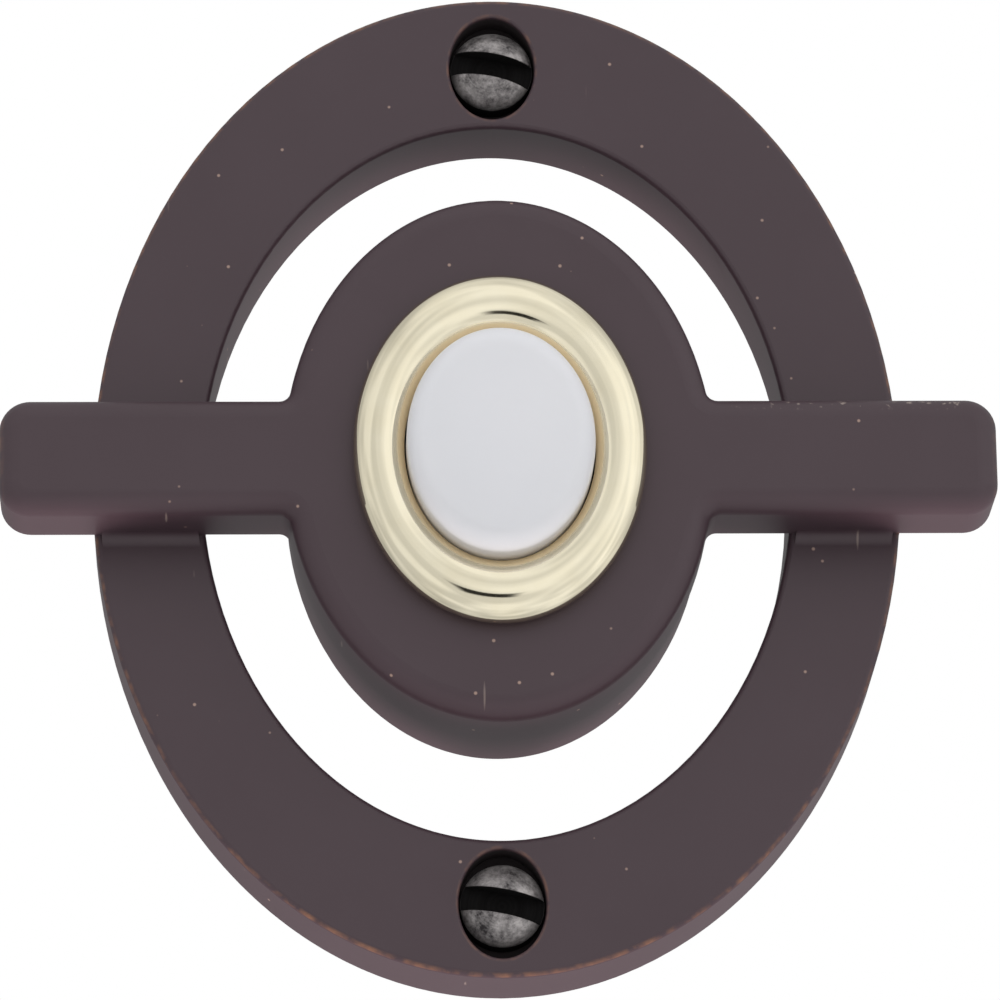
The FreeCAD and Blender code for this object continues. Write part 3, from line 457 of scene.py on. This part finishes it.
def lifted(piece, z):
    # Shifts the mesh itself, so that the object stays at the origin.
    bpy.ops.object.select_all(action="DESELECT")
    piece.select_set(True)
    bpy.context.view_layer.objects.active = piece
    bpy.ops.object.mode_set(mode="EDIT")
    bpy.ops.mesh.select_all(action="SELECT")
    bpy.ops.transform.translate(value=(0, 0, z * MM))
    bpy.ops.object.mode_set(mode="OBJECT")


def screw_section():
    # From the middle of the dome over its softened edge, down the head's side, under it, and along
    # the plain shank and the thread's core to the point.
    edge = (SCREW_HEAD_R - 0.06, SCREW_RIM_Y - 0.088)
    dome = arc_through((0.0, SCREW_TOP_Y), (1.75, SCREW_TOP_Y + 0.4155), edge, 16)
    side = [(SCREW_HEAD_R, SCREW_RIM_Y + 0.06), (SCREW_HEAD_R, RECESS_FLOOR_Y)]
    shank = [(SHANK_R, RECESS_FLOOR_Y), (SHANK_R, 0.0)]
    core = [(CORE_R, CORE_START_Y), (CORE_R, CORE_END_Y), (POINT_R, POINT_Y), (0.0, POINT_Y)]
    return dome + side + shank + core


def coil(name, profile_r, sides, at, pitch, turns, material):
    # A round or pointed profile swept along a helix round Y, with both ends closed.
    bpy.ops.object.select_all(action="DESELECT")
    bpy.ops.mesh.primitive_circle_add(vertices=sides, radius=profile_r * MM)
    piece = bpy.context.object
    piece.name = name
    bpy.ops.object.mode_set(mode="EDIT")
    bpy.ops.transform.rotate(value=math.pi / 2 * 3, orient_axis="Z", center_override=(0, 0, 0))
    bpy.ops.transform.translate(value=(at[0] * MM, at[1] * MM, 0))
    bpy.ops.object.mode_set(mode="OBJECT")
    sweep = piece.modifiers.new("sweep", "SCREW")
    sweep.axis, sweep.steps, sweep.render_steps = "Y", 40, 40
    sweep.angle, sweep.screw_offset, sweep.iterations = 2 * math.pi, pitch * MM, turns
    bpy.ops.object.modifier_apply(modifier=sweep.name)
    bpy.ops.object.mode_set(mode="EDIT")
    bpy.ops.mesh.select_all(action="SELECT")
    bpy.ops.mesh.fill_holes(sides=0)
    bpy.ops.mesh.normals_make_consistent(inside=False)
    bpy.ops.object.mode_set(mode="OBJECT")
    bpy.ops.object.shade_smooth_by_angle(angle=SMOOTH_ANGLE)
    piece.data.materials.append(material)
    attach(piece, "body")
    return piece


steel = worn_steel()
for end, screw_z in (("upper", SCREW_Z), ("lower", -SCREW_Z)):
    screw = turned(end + "_wall_screw", screw_section(), 96, steel)
    cut_from(screw, slot_cutter())
    lifted(screw, screw_z)
    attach(screw, "body")
    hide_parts(end + "_screw")
    thread = (THREAD_RIDGE_R, 3, THREAD_START, THREAD_PITCH, THREAD_TURNS, steel)
    ridge = coil(end + "_screw_thread", *thread)
    lifted(ridge, screw_z)

# Return spring: nine turns of bright music wire round the lamp's post. It pushes the plunger forward
# and shortens when the button is pressed.

SPRING_FRONT_Y = -14.475
SPRING_BACK_Y = 3.275
SPRING_R = 2.5
SPRING_TURNS = 9
WIRE_R = 0.225


def bright_metal(name, low, high, rough_low, rough_high, grain_mm):
    # Plain bare or plated metal: a clear shine, with fine drawn or rolled grain and small changes of
    # tone and polish.
    material, tree, shader = new_finish(name)
    place = add(tree, "TexCoord").outputs["Object"]
    grain = add(tree, "TexNoise", {"Vector": place, "Scale": 1 / (grain_mm * MM), "Detail": 4.0})
    tone = add(tree, "Mix", {0: grain, 6: linear(low), 7: linear(high)}, data_type="RGBA")
    polish = add(tree, "MapRange", {0: grain, 1: 0.3, 2: 0.7, 3: rough_low, 4: rough_high})
    bump = add(tree, "Bump", {"Height": grain, "Strength": 0.25, "Distance": 0.02 * MM})
    feed(tree, shader, {"Base Color": tone, "Metallic": 1.0, "Roughness": polish, "Normal": bump})
    return material


music_wire = bright_metal("bright_music_wire", "9a9a9e", "b8b8bc", 0.2, 0.34, 0.4)
spring_pitch = (SPRING_BACK_Y - SPRING_FRONT_Y) / SPRING_TURNS
winding = (WIRE_R, 14, (SPRING_R, SPRING_FRONT_Y), spring_pitch, SPRING_TURNS, music_wire)
spring = coil("return_spring_coil", *winding)
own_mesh(spring)
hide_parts("return_spring")

# Moulded pieces: the housing that goes through the hub, the plunger that slides in it, and the base
# that closes its back. They are made of nylon and phenolic, and keep their shapes.


def moulded(name, low, high, roughness):
    # Moulded plastic: even colour with faint flow clouds under a fine spark-eroded texture.
    material, tree, shader = new_finish(name)
    place = add(tree, "TexCoord").outputs["Object"]
    cloud = add(tree, "TexNoise", {"Vector": place, "Scale": 1 / (3 * MM), "Detail": 3.0})
    tone = add(tree, "Mix", {0: cloud, 6: linear(low), 7: linear(high)}, data_type="RGBA")
    texture = add(tree, "TexNoise", {"Vector": place, "Scale": 1 / (0.12 * MM), "Detail": 2.0})
    shinier, duller = roughness - 0.06, roughness + 0.06
    gloss = add(tree, "MapRange", {0: texture, 1: 0.3, 2: 0.7, 3: shinier, 4: duller})
    bump = add(tree, "Bump", {"Height": texture, "Strength": 0.4, "Distance": 0.015 * MM})
    feed(tree, shader, {"Base Color": tone, "Roughness": gloss, "IOR": 1.5, "Normal": bump})
    return material


give("switch_housing", moulded("black_nylon", "18181a", "202022", 0.45))
give("plunger", moulded("natural_nylon", "dcdad2", "e6e4dc", 0.4))
give("terminal_base", moulded("brown_phenolic", "3c2416", "4c2e1c", 0.35))

# Nut, washer and push ring: the steel nut and lock washer clamp the unit to the hub and are plated
# bright with zinc. The push ring is cut from the same bright steel as the spring.

zinc = bright_metal("bright_zinc_plate", "a9acb2", "c3c5c9", 0.22, 0.4, 0.9)
for name in ("lock_nut", "lock_washer"):
    give(name, zinc)
give("push_ring", music_wire)

# Contacts and terminals: the contacts are cut and bent from rolled brass strip. The terminal screws
# and their washers are turned from a slightly redder brass rod, brighter from the tool.

contact_brass = bright_metal("rolled_contact_brass", "c8a45c", "d8b86e", 0.22, 0.36, 0.7)
for name in ("left_contact", "right_contact", "contact_ring"):
    give(name, contact_brass)
terminal_brass = bright_metal("turned_terminal_brass", "c4a466", "d6bc80", 0.18, 0.34, 0.5)
for name in ("left_terminal_screw", "right_terminal_screw", "left_clamp_washer", "right_clamp_washer"):
    give(name, terminal_brass)

# Lamp: a small light-emitting diode cast in clear epoxy, with two tinned copper leads, and a
# resistor soldered into one of them.

RESISTOR_MIDDLE_Z = -4.0
RESISTOR_BANDS = ((-2.85, "6a3a20"), (-3.5, "1c1c1c"), (-4.1, "b4281e"), (-5.15, "b08a3a"))

tinned = bright_metal("tinned_copper_wire", "b4b4b6", "cacacc", 0.25, 0.42, 0.3)
for name in ("left_lamp_lead", "right_lamp_lead"):
    give(name, tinned)


def lamp_epoxy():
    # Clear cast epoxy: glassy, faintly warm, with slight flow marks.
    material, tree, shader = new_finish("clear_epoxy")
    place = add(tree, "TexCoord").outputs["Object"]
    cloud = add(tree, "TexNoise", {"Vector": place, "Scale": 1 / (2 * MM), "Detail": 2.0})
    tone = add(tree, "Mix", {0: cloud, 6: linear("efeadc"), 7: linear("f6f3e8")}, data_type="RGBA")
    feed(tree, shader, {"Base Color": tone, "Roughness": 0.08})
    feed(tree, shader, {"IOR": 1.53, "Transmission Weight": 0.9})
    return material


def banded_resistor():
    # Tan lacquer with four colour bands round the body, and tinned wire beyond both ends.
    material, tree, shader = new_finish("banded_resistor_lacquer")
    place = add(tree, "TexCoord").outputs["Object"]
    x, y, z = add(tree, "SeparateXYZ", {0: place}).outputs
    cloud = add(tree, "TexNoise", {"Vector": place, "Scale": 1 / (0.8 * MM), "Detail": 3.0})
    coat = add(tree, "Mix", {0: cloud, 6: linear("c8aa7c"), 7: linear("d4b88c")}, data_type="RGBA")
    for middle, colour in RESISTOR_BANDS:
        band = near(tree, z, middle, 0.14, 0.17)
        coat = add(tree, "Mix", {0: band, 6: coat, 7: linear(colour)}, data_type="RGBA")
    off = add(tree, "Math", {0: z, 1: RESISTOR_MIDDLE_Z * MM}, operation="SUBTRACT")
    beyond = add(tree, "Math", {0: off}, operation="ABSOLUTE")
    bare = add(tree, "MapRange", {0: beyond, 1: 1.6 * MM, 2: 1.62 * MM})
    tone = add(tree, "Mix", {0: bare, 6: coat, 7: linear("c0c0c2")}, data_type="RGBA")
    feed(tree, shader, {"Base Color": tone, "Metallic": bare, "Roughness": 0.35})
    return material


give("lamp", lamp_epoxy())
give("lamp_resistor", banded_resistor())

# Stage: a pale floor far below, a white studio round it, and one soft panel from below and behind.
# The camera stands a little below the button and to the left of it.

PICTURE_PX = 1000
PX_PER_MM = 12.595
ORIGIN_PX = (494.0, 505.7)
CAMERA_DISTANCE = 550.0
CAMERA_AZIMUTH = math.radians(-2.1)
CAMERA_ELEVATION = math.radians(-17.5)
CAMERA_ROLL = math.radians(0.745)
SENSOR = 36.0
FLOOR_SIZE = 60.0
FLOOR_Z = -1.4
PANEL_PLACE = Vector((0.0, 0.37, -0.93))
PANEL_SIZE = 0.5
PANEL_POWER = 14.0
DARK_THING_X = -0.035
DARK_THING_Z = -0.1


def place_camera():
    # A camera whose picture plane is square to its line of sight to the middle of the plate's back.
    sin_a, cos_a = math.sin(CAMERA_AZIMUTH), math.cos(CAMERA_AZIMUTH)
    sin_e, cos_e = math.sin(CAMERA_ELEVATION), math.cos(CAMERA_ELEVATION)
    back = Vector((sin_a * cos_e, -cos_a * cos_e, sin_e))
    level = Vector((cos_a, sin_a, 0.0))
    upright = back.cross(level)
    right = level * math.cos(CAMERA_ROLL) - upright * math.sin(CAMERA_ROLL)
    up = upright * math.cos(CAMERA_ROLL) + level * math.sin(CAMERA_ROLL)
    data = bpy.data.cameras.new("camera")
    data.lens = CAMERA_DISTANCE * SENSOR * PX_PER_MM / PICTURE_PX
    data.sensor_width = SENSOR
    data.shift_x = 0.5 - ORIGIN_PX[0] / PICTURE_PX
    data.shift_y = ORIGIN_PX[1] / PICTURE_PX - 0.5
    data.clip_start, data.clip_end = 0.05, 100.0
    camera = bpy.data.objects.new("camera", data)
    bpy.context.scene.collection.objects.link(camera)
    turn = Matrix((right, up, back)).transposed()
    camera.matrix_world = Matrix.Translation(back * CAMERA_DISTANCE * MM) @ turn.to_4x4()
    bpy.context.scene.camera = camera


place_camera()

bpy.ops.object.select_all(action="DESELECT")
bpy.ops.mesh.primitive_plane_add(size=FLOOR_SIZE, location=(0, 0, FLOOR_Z))
floor = bpy.context.object
floor.name = "floor"
paper, paper_tree, paper_shader = new_finish("pale_floor")
feed(paper_tree, paper_shader, {"Base Color": linear("f0f0f0"), "Roughness": 0.9})
floor.data.materials.append(paper)
floor.visible_glossy = False


def studio_world():
    # White to look at, and grey like the floor where it meets it. As a light it is a soft tent:
    # bright in front and above, dimmer below and behind, and a little brighter to the right. In
    # reflections the table stays bright right up to the front, the room round it is a little
    # uneven, and one dark thing stands straight in front.
    world = bpy.data.worlds.new("studio")
    bpy.context.scene.world = world
    world.use_nodes = True
    tree = world.node_tree
    direction = add(tree, "TexCoord").outputs["Generated"]
    x, y, z = add(tree, "SeparateXYZ", {0: direction}).outputs
    side = add(tree, "MapRange", {0: x, 1: -0.7, 2: 0.7, 3: 0.88, 4: 1.14})
    front = add(tree, "MapRange", {0: y, 1: 0.35, 2: -0.7, 3: 0.38, 4: 1.2})
    above = add(tree, "MapRange", {0: z, 1: -0.75, 2: 0.25, 3: 0.45, 4: 1.0})
    dome = add(tree, "Math", {0: front, 1: above}, operation="MULTIPLY")
    tent = add(tree, "Math", {0: dome, 1: side}, operation="MULTIPLY")

    across = add(tree, "MapRange", {0: y, 1: 0.8, 2: -0.6, 3: 0.42, 4: 0.97})
    table = add(tree, "Math", {0: across, 1: side}, operation="MULTIPLY")
    noise = add(tree, "TexNoise", {"Vector": direction, "Scale": 2.2, "Detail": 1.0})
    uneven = add(tree, "MapRange", {0: noise, 1: 0.38, 2: 0.6, 3: 0.82, 4: 1.1})
    room = add(tree, "Math", {0: table, 1: uneven}, operation="MULTIPLY")

    off_z = add(tree, "Math", {0: z, 1: DARK_THING_Z}, operation="SUBTRACT")
    off_x = add(tree, "Math", {0: x, 1: DARK_THING_X}, operation="SUBTRACT")
    size_z = add(tree, "Math", {0: off_z}, operation="ABSOLUTE")
    size_x = add(tree, "Math", {0: off_x}, operation="ABSOLUTE")
    upright = add(tree, "MapRange", {0: size_z, 1: 0.085, 2: 0.06})
    level = add(tree, "MapRange", {0: size_x, 1: 0.15, 2: 0.1})
    square = add(tree, "Math", {0: upright, 1: level}, operation="MULTIPLY")
    ahead = add(tree, "MapRange", {0: y, 1: 0.0, 2: -0.1})
    thing = add(tree, "Math", {0: square, 1: ahead}, operation="MULTIPLY")
    dimmed = add(tree, "MapRange", {0: thing, 3: 1.0, 4: 0.03})
    mirrored = add(tree, "Math", {0: room, 1: dimmed}, operation="MULTIPLY")

    ray = add(tree, "LightPath").outputs
    light = add(tree, "Mix", {0: ray["Is Glossy Ray"], 2: tent, 3: mirrored}, data_type="FLOAT")
    sky = add(tree, "MapRange", {0: z, 1: 0.0, 2: 0.15, 3: 0.62, 4: 1.0})
    strength = add(tree, "Mix", {0: ray["Is Camera Ray"], 2: light, 3: sky}, data_type="FLOAT")
    feed(tree, tree.nodes["Background"], {"Color": (1, 1, 1, 1), "Strength": strength})


studio_world()

# The panel's back is to the floor, it faces the object, and it is left out of the picture.
panel = bpy.data.lights.new("under_panel", "AREA")
panel.size, panel.energy, panel.color = PANEL_SIZE, PANEL_POWER, linear("fff4f0")[:3]
under_panel = bpy.data.objects.new("under_panel", panel)
bpy.context.scene.collection.objects.link(under_panel)
under_panel.location = PANEL_PLACE
under_panel.rotation_euler = (-PANEL_PLACE).to_track_quat("-Z", "Y").to_euler()
under_panel.visible_camera = False
under_panel.visible_glossy = False

bpy.context.scene.view_settings.view_transform = "Standard"
